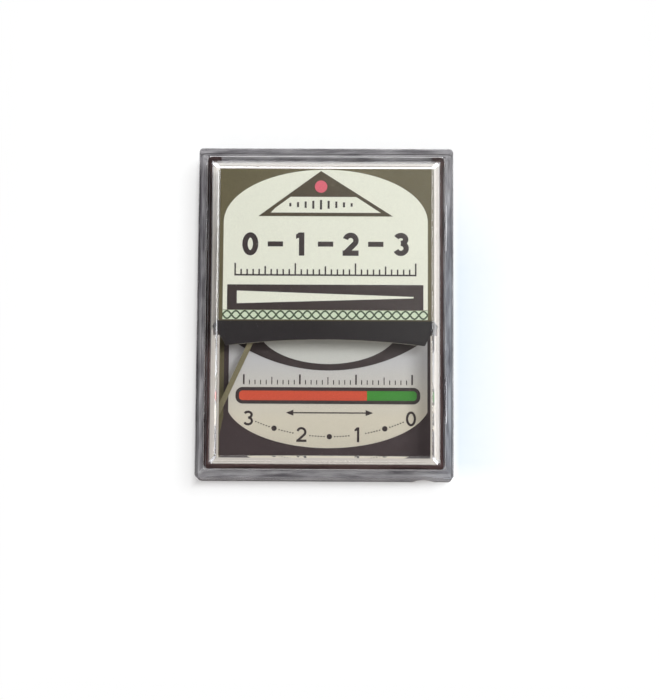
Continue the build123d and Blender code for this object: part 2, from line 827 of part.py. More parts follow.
print("case", case_width, "x", round(case_height, 3), "x", round(case_depth, 3))
print("pivot", pivot_x, round(pivot_y, 3), "needle length", round(needle_length, 3))
print("needle rests", round(needle_rest_deg, 3), "degrees left of straight down")
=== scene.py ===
# %% [markdown]
# # A pocket paint thickness gauge
# The gauge is a clear plastic box, 50 mm wide and 65 mm high, that is laid on painted sheet
# metal. A printed card fills the top half of its window. Below the card's fold a needle
# points at a curved scale: the thicker the paint and filler, the less the magnet behind the
# card is pulled, and the further the needle stays to the left.
#
# The solids come from the CAD frame and keep their places. This script adds the finer
# print, the finishes, the light and the camera. Everything is in metres, so lengths that a
# maker would give in millimetres are multiplied by `mm`.

from math import cos, pi, radians, sin

import bpy
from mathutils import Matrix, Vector


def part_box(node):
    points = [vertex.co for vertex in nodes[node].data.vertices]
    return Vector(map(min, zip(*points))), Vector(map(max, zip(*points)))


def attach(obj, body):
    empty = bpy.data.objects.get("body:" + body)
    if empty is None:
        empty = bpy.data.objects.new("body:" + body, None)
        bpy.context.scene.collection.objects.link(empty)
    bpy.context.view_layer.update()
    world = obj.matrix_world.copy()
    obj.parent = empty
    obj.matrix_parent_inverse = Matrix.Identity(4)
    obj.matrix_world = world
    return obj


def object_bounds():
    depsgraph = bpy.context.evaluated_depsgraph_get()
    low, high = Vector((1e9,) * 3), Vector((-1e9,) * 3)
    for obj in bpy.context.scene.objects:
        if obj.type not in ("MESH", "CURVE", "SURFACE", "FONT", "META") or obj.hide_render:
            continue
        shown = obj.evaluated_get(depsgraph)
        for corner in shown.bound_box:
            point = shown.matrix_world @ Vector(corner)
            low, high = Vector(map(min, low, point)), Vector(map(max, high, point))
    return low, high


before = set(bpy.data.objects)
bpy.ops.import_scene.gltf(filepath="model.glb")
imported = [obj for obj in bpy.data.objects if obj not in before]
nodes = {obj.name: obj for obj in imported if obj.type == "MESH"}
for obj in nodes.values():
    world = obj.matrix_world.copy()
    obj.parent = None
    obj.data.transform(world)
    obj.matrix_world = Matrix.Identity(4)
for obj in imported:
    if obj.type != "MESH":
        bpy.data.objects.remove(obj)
cad_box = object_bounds()
mm = 0.001
print("CAD nodes:", len(nodes))


# %% [markdown]
# ## Small tools for materials
# Every finish is a short recipe of shader nodes. Image textures could do it too, but they
# need files and stretch over odd shapes, while nodes work in the piece's own space.
#
# Ink, board and metal colours are given as they look on a screen, from 0 to 255, and turned
# into the light values that Blender mixes.

# %% Colours and empty materials
no_tint = (1.0, 1.0, 1.0, 1.0)


def screen_colour(red, green, blue):
    """A colour as seen on a screen, turned into linear light."""
    def linear(value):
        value = value / 255
        return value / 12.92 if value <= 0.04045 else ((value + 0.055) / 1.055) ** 2.4
    return (linear(red), linear(green), linear(blue), 1.0)


def shaded(colour, share):
    """The same colour, made darker or lighter by that share."""
    return tuple(value * share for value in colour[:3]) + (1.0,)


def new_material(name):
    """A new node material: itself, its tree, its main shader and its output."""
    material = bpy.data.materials.new(name)
    material.use_nodes = True
    tree = material.node_tree
    return material, tree, tree.nodes["Principled BSDF"], tree.nodes["Material Output"]


def put_on(material, *names):
    """Gives CAD nodes this material."""
    for name in names:
        nodes[name].data.materials.clear()
        nodes[name].data.materials.append(material)


mid_grey = screen_colour(128, 128, 128)[0]
print("a mid grey of 128 on screen is", round(mid_grey, 3), "in linear light")


# %% [markdown]
# ## Arithmetic in a material
# A finish often depends on where a point lies: at the rim, below a fold, near an axis. That
# could be painted by hand or split into many materials. Here small Math nodes work it out
# from the point's own place in millimetres, so a finish still fits when a size changes.

# %% Node arithmetic
def maths(tree, operation, first, second=0.0):
    """One Math node. Each input is a number or another node's output."""
    node = tree.nodes.new("ShaderNodeMath")
    node.operation = operation
    for socket, value in zip(node.inputs, (first, second)):
        if isinstance(value, (int, float)):
            socket.default_value = value
        else:
            tree.links.new(value, socket)
    return node.outputs[0]


def chain(tree, operation, first, *others):
    """The same Math node again and again, until every input has been taken in."""
    for other in others:
        first = maths(tree, operation, first, other)
    return first


def place_in_mm(tree, stretch=(1, 1, 1)):
    """The point being shaded, in millimetres in the frame, stretched if asked."""
    coordinates = tree.nodes.new("ShaderNodeTexCoord")
    scale = tree.nodes.new("ShaderNodeVectorMath")
    scale.operation = "MULTIPLY"
    scale.inputs[1].default_value = [share / mm for share in stretch]
    tree.links.new(coordinates.outputs["Object"], scale.inputs[0])
    return scale.outputs[0]


def axes_of(tree, vector):
    """The X, Y and Z of a vector, as three outputs."""
    split = tree.nodes.new("ShaderNodeSeparateXYZ")
    tree.links.new(vector, split.inputs[0])
    return split.outputs


def surface_slope(tree):
    """How far the surface faces up: 1 is level, 0 is a wall, -1 faces down."""
    normal = tree.nodes.new("ShaderNodeNewGeometry").outputs["True Normal"]
    return axes_of(tree, normal)["Z"]


def ray_kinds(tree):
    """Outputs that say what kind of ray has met the surface."""
    return tree.nodes.new("ShaderNodeLightPath").outputs


print("node arithmetic works in units of", mm, "m")


# %% [markdown]
# ## Shades and surface marks
# No real surface is one even colour or one even shine. Soft noise gives a material its
# blotches, streaks or fibres. A Color Ramp turns that number into a colour between two
# shades, a Map Range turns it into a roughness, and a Bump node makes the light see fine
# ups and downs that the mesh doesn't have.

# %% Noise, node colours and bumps
def grain(tree, size_mm, detail=2.0, stretch=(1, 1, 1)):
    """Soft noise whose blotches are about that many millimetres across."""
    noise = tree.nodes.new("ShaderNodeTexNoise")
    noise.inputs["Scale"].default_value = 1 / size_mm
    noise.inputs["Detail"].default_value = detail
    tree.links.new(place_in_mm(tree, stretch), noise.inputs["Vector"])
    return noise.outputs["Fac"]


def blend_colours(tree, factor, first, second, low=0.35, high=0.65):
    """A colour that goes from first to second as the factor goes from low to high."""
    ramp = tree.nodes.new("ShaderNodeValToRGB")
    for element, place, colour in zip(ramp.color_ramp.elements, (low, high), (first, second)):
        element.position = place
        element.color = colour
    tree.links.new(factor, ramp.inputs["Fac"])
    return ramp.outputs["Color"]


def mix_colours(tree, factor, first, second, kind="MIX"):
    """Mixes two colours by a factor. Each is a colour or another node's output."""
    mix = tree.nodes.new("ShaderNodeMix")
    mix.data_type = "RGBA"
    mix.blend_type = kind
    # A Mix node has sockets for numbers and vectors too: these are the ones for colours.
    sockets = mix.inputs["Factor"], mix.inputs[6], mix.inputs[7]
    for socket, value in zip(sockets, (factor, first, second)):
        if isinstance(value, (tuple, float)):
            socket.default_value = value
        else:
            tree.links.new(value, socket)
    return mix.outputs[2]


def spread(tree, factor, low=0, high=1, start=0.3, end=0.7):
    """A number that goes from low to high as the factor goes from start to end."""
    span = tree.nodes.new("ShaderNodeMapRange")
    limits = {"From Min": start, "From Max": end, "To Min": low, "To Max": high}
    for name, value in limits.items():
        span.inputs[name].default_value = value
    tree.links.new(factor, span.inputs["Value"])
    return span.outputs["Result"]


def bump(tree, shader, height, depth_mm):
    """Raises and lowers the surface by the given height, in millimetres."""
    node = tree.nodes.new("ShaderNodeBump")
    node.inputs["Distance"].default_value = depth_mm * mm
    tree.links.new(height, node.inputs["Height"])
    tree.links.new(node.outputs["Normal"], shader.inputs["Normal"])


def mix_shaders(tree, share, first, second, output):
    """Blends two shaders by a share, and sends the result to the output."""
    choose = tree.nodes.new("ShaderNodeMixShader")
    for socket, source in zip(choose.inputs, (share, first, second)):
        tree.links.new(source, socket)
    tree.links.new(choose.outputs["Shader"], output.inputs["Surface"])


fibre_mm = 0.35
print("fibres of", fibre_mm, "mm need a noise scale of", round(1 / fibre_mm, 2))


# %% [markdown]
# ## Painted shade in the rim
# Faint dark streaks along each wall are painted shade, for the dark look of the thick walls.
# They lie on the walls' level top and foot only, so the material asks how far a point lies
# from the middle of the box, which wall that is, and whether the surface is level there. A
# painted image could hold the streaks, but noise stretched along each wall has no seams.

# %% Painted rim shade
case_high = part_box("rear_case")[1] / mm
cover_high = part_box("front_cover")[1] / mm


def outside_mm(tree, half_width, half_height):
    """How far the point lies outside an upright rectangle round the middle of the box."""
    x, y, z = axes_of(tree, place_in_mm(tree))
    beyond_x = maths(tree, "SUBTRACT", maths(tree, "ABSOLUTE", x), half_width)
    beyond_y = maths(tree, "SUBTRACT", maths(tree, "ABSOLUTE", y), half_height)
    return maths(tree, "MAXIMUM", beyond_x, beyond_y)


def on_side_wall(tree):
    """1 nearer to the left or right wall, 0 nearer to the top or bottom one."""
    x, y, z = axes_of(tree, place_in_mm(tree))
    side_lead = maths(tree, "SUBTRACT", maths(tree, "ABSOLUTE", x), cover_high.x)
    end_lead = maths(tree, "SUBTRACT", maths(tree, "ABSOLUTE", y), cover_high.y)
    return maths(tree, "GREATER_THAN", side_lead, end_lead)


def rim_painted_shade(tree):
    """Painted shade in streaks along the walls, 0 to 1, only over the walls' top and foot."""
    rim_mm, along, streak_mm = 0.9, 0.14, 1.2
    beyond = outside_mm(tree, cover_high.x - rim_mm, cover_high.y - rim_mm)
    on_rim = spread(tree, beyond, start=0, end=0.4)
    streaks_x = grain(tree, streak_mm, stretch=(along, 1, 0.3))
    streaks_y = grain(tree, streak_mm, stretch=(1, along, 0.3))
    change = maths(tree, "SUBTRACT", streaks_y, streaks_x)
    wanted = maths(tree, "MULTIPLY", on_side_wall(tree), change)
    streaks = maths(tree, "ADD", streaks_x, wanted)
    streaks = spread(tree, streaks, low=0.1, start=0.35, end=0.65)
    level = maths(tree, "GREATER_THAN", maths(tree, "ABSOLUTE", surface_slope(tree)), 0.5)
    return chain(tree, "MULTIPLY", on_rim, level, streaks)


print("the walls are", round(case_high.x - cover_high.x, 2), "mm beyond the cover")


# %% [markdown]
# ## Wear
# A gauge that is slid over paint and carried in a pocket is dull at its lowest outer edge
# and scuffed on its outer walls, which mirror very little when they are looked at along
# their face. Perfect plastic would pipe light down each wall and show a black line at its
# foot. Roughness alone doesn't cure that, so the material lets part of the light go
# straight on in those places.

# %% Worn places
def worn_foot(tree):
    """1 on the box's lowest outer edge, else 0."""
    edge_mm = 0.45
    beyond = outside_mm(tree, case_high.x - edge_mm, case_high.y - edge_mm)
    at_edge = maths(tree, "GREATER_THAN", beyond, 0)
    low = maths(tree, "LESS_THAN", axes_of(tree, place_in_mm(tree))["Z"], edge_mm)
    return maths(tree, "MULTIPLY", at_edge, low)


def glanced_wall(tree, slant):
    """1 where an outer wall is looked at along its face, from outside, else 0."""
    skin_mm = 0.5
    beyond = outside_mm(tree, case_high.x - skin_mm, case_high.y - skin_mm)
    on_wall = maths(tree, "GREATER_THAN", beyond, 0)
    inside = tree.nodes.new("ShaderNodeNewGeometry").outputs["Backfacing"]
    from_outside = maths(tree, "MULTIPLY", on_wall, maths(tree, "SUBTRACT", 1.0, inside))
    return maths(tree, "MULTIPLY", from_outside, spread(tree, slant, start=0.8, end=0.9))


print("worn edges lie at x =", round(case_high.x, 2), "and y =", round(case_high.y, 2), "mm")


# %% [markdown]
# ## Clear plastic
# The tray and the cap pushed into it are moulded from clear polystyrene, which bends light
# a little more than window glass. Seen from above, each wall is a deep stack of plastic, so
# its faint tint adds up to a grey band, while the thin window stays clear. The tint is a
# volume absorption, which darkens by the length of the path inside.
#
# Traced lamp light through clear walls is noisy. So light that travels from a lamp, or on
# from a matt surface, goes straight through, and loses more where it meets a wall at a
# slant. Only what is seen through the plastic is bent. Light that has been mirrored inside
# a wall three times is let out too, because a real wall is never so perfect a trap.

# %% Clear plastic
def clear_plastic():
    """Clear to look through and to light, and tinted along its thick edges."""
    material, tree, shader, output = new_material("clear_polystyrene")
    # Painted shade: dark streaks over the walls' top and foot, mixed into the plastic's colour.
    painted_rim_shade = (0.22, 0.21, 0.225, 1)
    rim_with_painted_shade = blend_colours(tree, rim_painted_shade(tree), no_tint, painted_rim_shade, 0, 1)
    tree.links.new(rim_with_painted_shade, shader.inputs["Base Color"])
    shader.inputs["Transmission Weight"].default_value = 1.0
    shader.inputs["IOR"].default_value = 1.57
    tree.links.new(spread(tree, grain(tree, 9.0), 0.004, 0.014), shader.inputs["Roughness"])

    rays = ray_kinds(tree)
    slant = tree.nodes.new("ShaderNodeLayerWeight").outputs["Facing"]
    worn_share, scuffed_share, most_bounces = 0.5, 0.9, 2.5
    straight = chain(
        tree, "MAXIMUM", rays["Is Shadow Ray"], rays["Is Diffuse Ray"],
        maths(tree, "GREATER_THAN", rays["Glossy Depth"], most_bounces),
        maths(tree, "MULTIPLY", worn_foot(tree), worn_share),
        maths(tree, "MULTIPLY", glanced_wall(tree, slant), scuffed_share),
    )
    face_on, along_wall = (0.97, 0.97, 0.97, 1), (0.5, 0.48, 0.48, 1)
    through = tree.nodes.new("ShaderNodeBsdfTransparent")
    loss = blend_colours(tree, slant, face_on, along_wall, 0.3, 0.9)
    tree.links.new(loss, through.inputs["Color"])
    mix_shaders(tree, straight, shader.outputs["BSDF"], through.outputs["BSDF"], output)

    tint = tree.nodes.new("ShaderNodeVolumeAbsorption")
    tint.inputs["Color"].default_value = (0.70, 0.69, 0.71, 1)
    tint.inputs["Density"].default_value = 150.0
    tree.links.new(tint.outputs["Volume"], output.inputs["Volume"])
    return material


put_on(clear_plastic(), "rear_case", "front_cover")
print("clear plastic on rear_case and front_cover")


# %% [markdown]
# ## Ink
# The cards are thin board with a screen-printed face. Each ink is nearly one colour, but it
# lies thicker and thinner over the board's fibres, so a fine grain changes both its shade
# and its sheen. A flat colour would look like a drawing.

# %% Inks
def ink_coat(tree, shader, colour, shade=0.9, sheen=0.45):
    """Colour over fibres: gives the shader its grain and returns the ink's colour."""
    fibres = grain(tree, fibre_mm, detail=4.0)
    dull = spread(tree, grain(tree, 1.5), sheen, sheen + 0.15)
    tree.links.new(dull, shader.inputs["Roughness"])
    shader.inputs["Specular IOR Level"].default_value = 0.25
    bump(tree, shader, fibres, depth_mm=0.01)
    return blend_colours(tree, fibres, shaded(colour, shade), colour)


def ink(name, colour, shade=0.9, sheen=0.45):
    """A printed colour, with its darkest patches at that share of its shade."""
    material, tree, shader, output = new_material(name)
    tree.links.new(ink_coat(tree, shader, colour, shade, sheen), shader.inputs["Base Color"])
    return material


cream = ink("cream_ink", screen_colour(240, 241, 222), shade=0.95)
olive = ink("olive_ink", screen_colour(92, 84, 56))
black = ink("line_ink", screen_colour(50, 39, 37))
triangle_ink = ink("triangle_ink", screen_colour(74, 64, 44))

put_on(cream, "arch_field", "sensor_panel")
put_on(black, "scale_arc", "bar_frame", "scale_dots")
put_on(triangle_ink, "sensor_triangle")
put_on(ink("dark_ink", screen_colour(54, 43, 40)), "title_banner")
put_on(ink("crescent_ink", screen_colour(204, 204, 196), shade=0.95), "scale_crescent")
put_on(ink("red_ink", screen_colour(206, 80, 52)), "red_zone")
put_on(ink("green_ink", screen_colour(58, 134, 44)), "green_zone")
put_on(ink("sensor_ink", screen_colour(228, 104, 118)), "sensor_dot")
put_on(ink("hatch_ground", screen_colour(216, 228, 200), shade=0.95), "hatch_strip")
print("inks:", [m.name for m in bpy.data.materials if m.name.endswith("ink")])


# %% [markdown]
# ## The field and its painted shade
# The scale's field is printed a warm beige. Towards the fold it goes over to a darker, cool
# grey: painted shade where the apron overhangs the field. It could be cut into bands, but
# shade has no steps, so its colour follows the height on the card, which is the Y of the frame.

# %% Field with painted shade
def height_on_card(tree):
    """How high the point lies on the card, in millimetres."""
    return axes_of(tree, place_in_mm(tree))["Y"]


def field_with_painted_shade():
    """Beige print, greyed and darkened towards the field's top by painted shade under the fold."""
    material, tree, shader, output = new_material("field_ink_painted_shade")
    low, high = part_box("scale_field")
    share = spread(tree, height_on_card(tree), start=low.y / mm, end=high.y / mm)
    # Painted shade: the grey at the field's top stands for the apron's shade.
    beige, grey = screen_colour(214, 206, 186), screen_colour(196, 195, 194)
    beige_to_shade = blend_colours(tree, share, beige, grey, 0.25, 0.75)
    coat = ink_coat(tree, shader, no_tint, shade=0.95)
    tree.links.new(mix_colours(tree, 1.0, beige_to_shade, coat, "MULTIPLY"), shader.inputs["Base Color"])
    return material


put_on(field_with_painted_shade(), "scale_field")


# %% [markdown]
# ## Boards
# A board is printed on its face only. Its cut edges and its back show the bare grey-white
# board, so its material looks at which way the surface faces. The face card is olive above
# its fold and nearly black below, where the apron hides the works. The scale card is dark.
# Under the cover's skirt it is a paler maroon: painted shade for the dim band under the walls.
# The mat between them is plain.

# %% Boards
fold_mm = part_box("hatch_strip")[0].y / mm - 0.1


def board(name, face_colour, below_fold=None, border=None):
    """Printed on the side that faces the reader, and bare on its back and its cut edges."""
    material, tree, shader, output = new_material(name)
    coat = ink_coat(tree, shader, face_colour)
    # A border is painted shade: the card's colour where it runs on under the skirt.
    if border:
        mat_high, overlap_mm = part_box("card_mat")[1] / mm, 0.6
        beyond = outside_mm(tree, mat_high.x - overlap_mm, mat_high.y - overlap_mm)
        coat = mix_colours(tree, spread(tree, beyond, start=0, end=0.5), coat, border)
    if below_fold:
        above = spread(tree, height_on_card(tree), start=fold_mm - 0.25, end=fold_mm + 0.05)
        coat = mix_colours(tree, above, ink_coat(tree, shader, below_fold), coat)
    printed = maths(tree, "GREATER_THAN", surface_slope(tree), 0.3)
    fibres = grain(tree, 0.6, detail=5.0)
    bare = blend_colours(tree, fibres, screen_colour(176, 168, 150), screen_colour(206, 200, 184))
    tree.links.new(mix_colours(tree, printed, bare, coat), shader.inputs["Base Color"])
    return material


olive_board, apron_black = screen_colour(98, 90, 62), screen_colour(40, 36, 37)
# The paler maroon is painted shade for the dim band under the walls.
maroon, under_skirt_painted_shade = screen_colour(56, 43, 43), screen_colour(124, 98, 94)
put_on(board("olive_board", olive_board, below_fold=apron_black), "face_card")
put_on(board("dark_board", maroon, border=under_skirt_painted_shade), "scale_card")
put_on(ink("mat_board", screen_colour(196, 188, 178), shade=0.95, sheen=0.6), "card_mat")
print("fold at", round(fold_mm, 2), "mm")


# %% [markdown]
# ## Metal works
# Behind the card are turned brass parts, steel screws and pins, a fine spring and the thin
# needle. They show through the clear back. A turned part has rings round its axis and a
# strip has marks along its length. One brushed metal for all would be less work, but it
# would not tell a turned bush from a rolled strip.

# %% Metals
pivot_low, pivot_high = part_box("needle_arbor")
pivot = (pivot_low + pivot_high) / 2


def metal(name, colour, marks_from, roughness):
    """A bare metal whose fine marks change its shade and its shine."""
    material, tree, shader, output = new_material(name)
    shader.inputs["Metallic"].default_value = 1.0
    marks = marks_from(tree)
    shade = blend_colours(tree, marks, shaded(colour, 0.75), colour)
    tree.links.new(shade, shader.inputs["Base Color"])
    tree.links.new(spread(tree, marks, roughness + 0.15, roughness), shader.inputs["Roughness"])
    bump(tree, shader, marks, depth_mm=0.004)
    return material


def turned_rings(tree):
    """Rings round the pivot's axis, broken up by a little noise."""
    ring_pitch_mm, ring_share = 0.09, 0.2
    x, y, z = axes_of(tree, place_in_mm(tree))
    across = maths(tree, "SUBTRACT", x, pivot.x / mm)
    along = maths(tree, "SUBTRACT", y, pivot.y / mm)
    squares = maths(tree, "ADD", maths(tree, "POWER", across, 2), maths(tree, "POWER", along, 2))
    turns = maths(tree, "MULTIPLY", maths(tree, "SQRT", squares), 2 * pi / ring_pitch_mm)
    rings = maths(tree, "MULTIPLY", maths(tree, "SINE", turns), ring_share)
    return maths(tree, "ADD", rings, grain(tree, 0.25))


def rolled_marks(tree):
    """Long fine marks, left by rolling along X."""
    return grain(tree, 0.12, detail=3.0, stretch=(0.08, 1, 1))


def plain_marks(tree):
    """Fine marks with no direction."""
    return grain(tree, 0.15, detail=3.0)


brass, steel, bronze = (
    screen_colour(206, 176, 108), screen_colour(176, 176, 174), screen_colour(198, 150, 104)
)
turned_brass = metal("turned_brass", brass, turned_rings, 0.22)
plain_brass = metal("plain_brass", brass, plain_marks, 0.25)
plain_steel = metal("plain_steel", steel, plain_marks, 0.28)
put_on(turned_brass, "rear_bearing", "needle_boss", "front_bearing")
put_on(plain_brass, "counterweight", "spring_collet", "spring_stud")
put_on(metal("rolled_brass", brass, rolled_marks, 0.28), "bridge")
put_on(plain_steel, "needle_arbor", "bridge_screws", "stop_pins")
put_on(metal("spring_bronze", bronze, plain_marks, 0.25), "hairspring")
put_on(ink("needle_paint", screen_colour(122, 114, 86), shade=0.85, sheen=0.35), "needle")
print("pivot at", round(pivot.x / mm, 2), round(pivot.y / mm, 2), "mm")


# %% [markdown]
# ## Magnets
# The fixed magnet and the one that turns with the needle are pressed and sintered powder,
# which is dark, dull and grainy rather than shiny. They could share the steel's recipe, but
# without the metallic value and with a deeper grain they read as the ceramic they are.

# %% Magnets
def sintered(name, colour):
    """Dark magnet material, with a grainy dull skin."""
    material, tree, shader, output = new_material(name)
    grains = grain(tree, 0.12, detail=3.0)
    shade = blend_colours(tree, grains, colour, shaded(colour, 1.7))
    tree.links.new(shade, shader.inputs["Base Color"])
    shader.inputs["Roughness"].default_value = 0.6
    bump(tree, shader, grains, depth_mm=0.03)
    return material


put_on(sintered("sintered_magnet", screen_colour(52, 52, 56)), "rotor_magnet", "bias_magnet")
print("materials so far:", len(bpy.data.materials))


# %% [markdown]
# ## Fine print
# Numerals, dots and ticks are too thin to be worth a solid each. They could be a texture,
# but flat shapes keep crisp edges at any distance, and they move with the part. Each group
# is one mesh of flat faces, laid a hair above the ink below it. Shapes that follow one
# another lie at slightly different heights, so that neighbours never share a plane.

# %% Flat shapes
lift_mm = 0.012
stagger_mm = 0.002
stagger_steps = 4


def print_shapes(name, outlines, carrier, material):
    """Flat faces, given by their corners in millimetres, on the node that carries them."""
    mesh = bpy.data.meshes.new(name)
    carrier_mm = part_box(carrier)[1].z / mm
    corners, faces = [], []
    for index, outline in enumerate(outlines):
        height_mm = carrier_mm + lift_mm + stagger_mm * (index % stagger_steps)
        faces.append(range(len(corners), len(corners) + len(outline)))
        corners += [(x * mm, y * mm, height_mm * mm) for x, y in outline]
    mesh.from_pydata(corners, [], faces)
    for face in mesh.polygons:
        if face.normal.z < 0:
            face.flip()
    mesh.materials.append(material)
    piece = bpy.data.objects.new(name, mesh)
    bpy.context.scene.collection.objects.link(piece)
    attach(piece, "case")
    print(name, "faces:", len(outlines))


def bar(x, y, width, height):
    """Corners of an upright rectangle about its centre."""
    left, right, low, high = x - width / 2, x + width / 2, y - height / 2, y + height / 2
    return [(left, low), (right, low), (right, high), (left, high)]


def disc(x, y, radius, sides):
    """Corners of a round dot."""
    turns = [2 * pi * step / sides for step in range(sides)]
    return [(x + radius * cos(turn), y + radius * sin(turn)) for turn in turns]


print("print lies", lift_mm, "mm above the ink that carries it")


# %% [markdown]
# ## Numerals
# Blender's text objects would give numerals at once, but in the look of whatever typeface
# is loaded. Dial makers draw numerals with a pen of one width, so here a numeral is a few
# pen strokes: arcs and straight lines, given as fractions of its height.

# %% Pen strokes
def arc(x, y, radius_x, radius_y, start_deg, end_deg, steps=20):
    """Points along part of an ellipse."""
    step_deg = (end_deg - start_deg) / steps
    angles = [radians(start_deg + step_deg * step) for step in range(steps + 1)]
    return [(x + radius_x * cos(angle), y + radius_y * sin(angle)) for angle in angles]


def stroke(points, width):
    """Quads that follow a line of points, as a pen of that width would."""
    sides = []
    for index, point in enumerate(points):
        before = Vector(points[max(index - 1, 0)])
        after = Vector(points[min(index + 1, len(points) - 1)])
        across = (after - before).normalized().orthogonal() * width / 2
        sides.append((Vector(point) + across, Vector(point) - across))
    return [[a, b, d, c] for (a, b), (c, d) in zip(sides, sides[1:])]


def numeral(kind, weight):
    """Shapes of a numeral one unit high about its centre, for a pen of that weight."""
    half, edge = 0.34, weight / 2
    wide = half - edge
    if kind == "0":
        return stroke(arc(0, 0, wide, 0.5 - edge, 0, 360, 40), weight)
    if kind == "1":
        stem, flag_y = 0.05, 0.22
        flag_x, flag_high = stem - 0.24, flag_y + 0.8 * weight
        flag = [(flag_x, flag_y), (stem - edge, 0.27), (stem - edge, 0.5), (flag_x, flag_high)]
        return [bar(stem, 0, weight, 1), flag]
    if kind == "2":
        top = arc(0, 0.5 - edge - wide, wide, wide, 165, -35)
        foot = bar(0, edge - 0.5, 2 * half, weight)
        return stroke(top + [(edge - half, edge - 0.5)], weight) + [foot]
    upper = 0.25 - edge * 0.7
    lower = 0.5 - edge - upper
    upper_bowl = arc(0, 0.5 - edge - upper, wide - 0.02, upper, 155, -90)
    lower_bowl = arc(0, lower + edge - 0.5, wide, lower, 90, -155)
    return stroke(upper_bowl, weight) + stroke(lower_bowl, weight)


def set_numerals(places, height, weight):
    """Numerals of one height, given as (kind, x, y)."""
    shapes = []
    for kind, x, y in places:
        for shape in numeral(kind, weight):
            shapes.append([(x + u * height, y + v * height) for u, v in shape])
    return shapes


pen_weight = 0.16
print("a numeral 3 has", len(numeral("3", pen_weight)), "faces")


# %% [markdown]
# ## The scale
# The numerals 3 2 1 0 stand on one arc, with a large dot at each half and fine dots
# between. Their places could be typed in one by one, but read from the three large dots of
# the CAD frame, the arc follows the card when its size changes.

# %% Numerals and dots of the scale
dots_low, dots_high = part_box("scale_dots")
dot_radius = 0.53
half_chord = (dots_high.x - dots_low.x) / 2 / mm - dot_radius
arc_rise = (dots_high.y - dots_low.y) / mm - 2 * dot_radius
arc_radius = (half_chord**2 + arc_rise**2) / (2 * arc_rise)
arc_x = (dots_low.x + dots_high.x) / 2 / mm
arc_y = dots_low.y / mm + dot_radius + arc_radius
half_step_deg = 8.435
print("scale arc radius", round(arc_radius, 2), "mm")


def on_arc(angle_deg):
    """A point of the scale's arc, by its angle from straight down."""
    angle = radians(angle_deg)
    return arc_x + arc_radius * sin(angle), arc_y - arc_radius * cos(angle)


numeral_height = 2.95
half_steps = {"3": -3, "2": -1, "1": 1, "0": 3}
places = [(kind, *on_arc(step * half_step_deg)) for kind, step in half_steps.items()]
numerals = set_numerals(places, numeral_height, pen_weight)
print_shapes("scale_numerals", numerals, "scale_field", black)

small_radius, small_sides = 0.15, 8
small_dots = [
    disc(*on_arc(step * half_step_deg + side * shift_deg), small_radius, small_sides)
    for step in (-2, 0, 2) for side in (-1, 1) for shift_deg in (1.6, 2.45, 3.3, 4.15, 5.0, 5.85)
]
print_shapes("scale_small_dots", small_dots, "scale_field", black)


# %% [markdown]
# ## Ticks, arrow and border
# Where the real scale carries words, this one carries marks that need no language: a row of
# ticks over the colour bar, ten to a millimetre of thickness, and an arrow under it. Bars
# spaced by a loop are enough, because every tenth and every fifth tick only differ in
# height and width. A narrow olive border closes the card's left edge.

# %% Ticks, arrow and border of the scale
def tick_row(left, right, foot_y, heights, widths):
    """Thirty steps of ticks. Every tenth is tall and wide, every fifth of middle height."""
    steps = 30
    bars = []
    for index in range(steps + 1):
        height = heights[0 if index % 10 == 0 else 1 if index % 5 == 0 else 2]
        width = widths[0 if index % 10 == 0 else 1]
        x = left + (right - left) * index / steps
        bars.append(bar(x, foot_y + height / 2, width, height))
    return bars


bar_low, bar_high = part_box("bar_frame")
bar_inset, tick_gap = 1.6, 0.55
ticks = tick_row(
    bar_low.x / mm + bar_inset, bar_high.x / mm - bar_inset, bar_high.y / mm + tick_gap,
    heights=(2.0, 1.5, 0.9), widths=(0.34, 0.2),
)
print_shapes("scale_ticks", ticks, "scale_field", black)

arrow_y, arrow_reach, shaft_reach, shaft_width = bar_low.y / mm - 1.75, 8.6, 7.3, 0.26
head_length, head_half = 1.5, 0.6
arrow = [bar(arc_x, arrow_y, 2 * shaft_reach, shaft_width)]
for side in (-1, 1):
    tip, root = arc_x + side * arrow_reach, arc_x + side * (arrow_reach - head_length)
    arrow.append([(tip, arrow_y), (root, arrow_y + head_half), (root, arrow_y - head_half)])
print_shapes("scale_arrow", arrow, "scale_field", black)

border_left, border_right, foot_right = -21.2, -20.0, -20.75
border_foot, taper_low, taper_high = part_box("scale_card")[0].y / mm + 2.4, -23.5, -20.0
border = [
    (border_left, border_foot), (foot_right, border_foot), (foot_right, taper_low),
    (border_right, taper_high), (border_right, fold_mm), (border_left, fold_mm),
]
print_shapes("scale_border", [border], "scale_card", olive)


# %% [markdown]
# ## Range and ruler line
# A bold range and a ruler line stand in for the title. They say what the gauge measures
# without any words. The numerals could be reused from the scale, but a title is set larger
# and with a heavier pen.

# %% Range and ruler line
title_y, title_pitch, title_height, title_weight = 13.2, 9.8, 4.6, 0.23
places = [(kind, (index - 1.5) * title_pitch, title_y) for index, kind in enumerate("0123")]
title = set_numerals(places, title_height, title_weight)
dash_width, dash_height = 3.0, 1.0
for index in range(3):
    title.append(bar((index - 1) * title_pitch, title_y, dash_width, dash_height))
print_shapes("range_numerals", title, "arch_field", black)

ruler_y, ruler_half, ruler_line, tick_width = 7.05, 17.6, 0.32, 0.3
ruler = [bar(0, ruler_y, 2 * ruler_half + tick_width, ruler_line)]
ruler += tick_row(
    -ruler_half, ruler_half, ruler_y + ruler_line / 2,
    heights=(2.2, 1.6, 1.0), widths=(tick_width, tick_width),
)
print_shapes("ruler_line", ruler, "arch_field", black)


# %% [markdown]
# ## Wedge and panel marks
# The wedge in the dark banner runs from thick to thin, as the reading does. The marks in the
# triangle's panel stand under the place of the magnet and shrink away from it. A thin strip
# of the triangle's ink closes the panel's left corner, which the solids leave open.

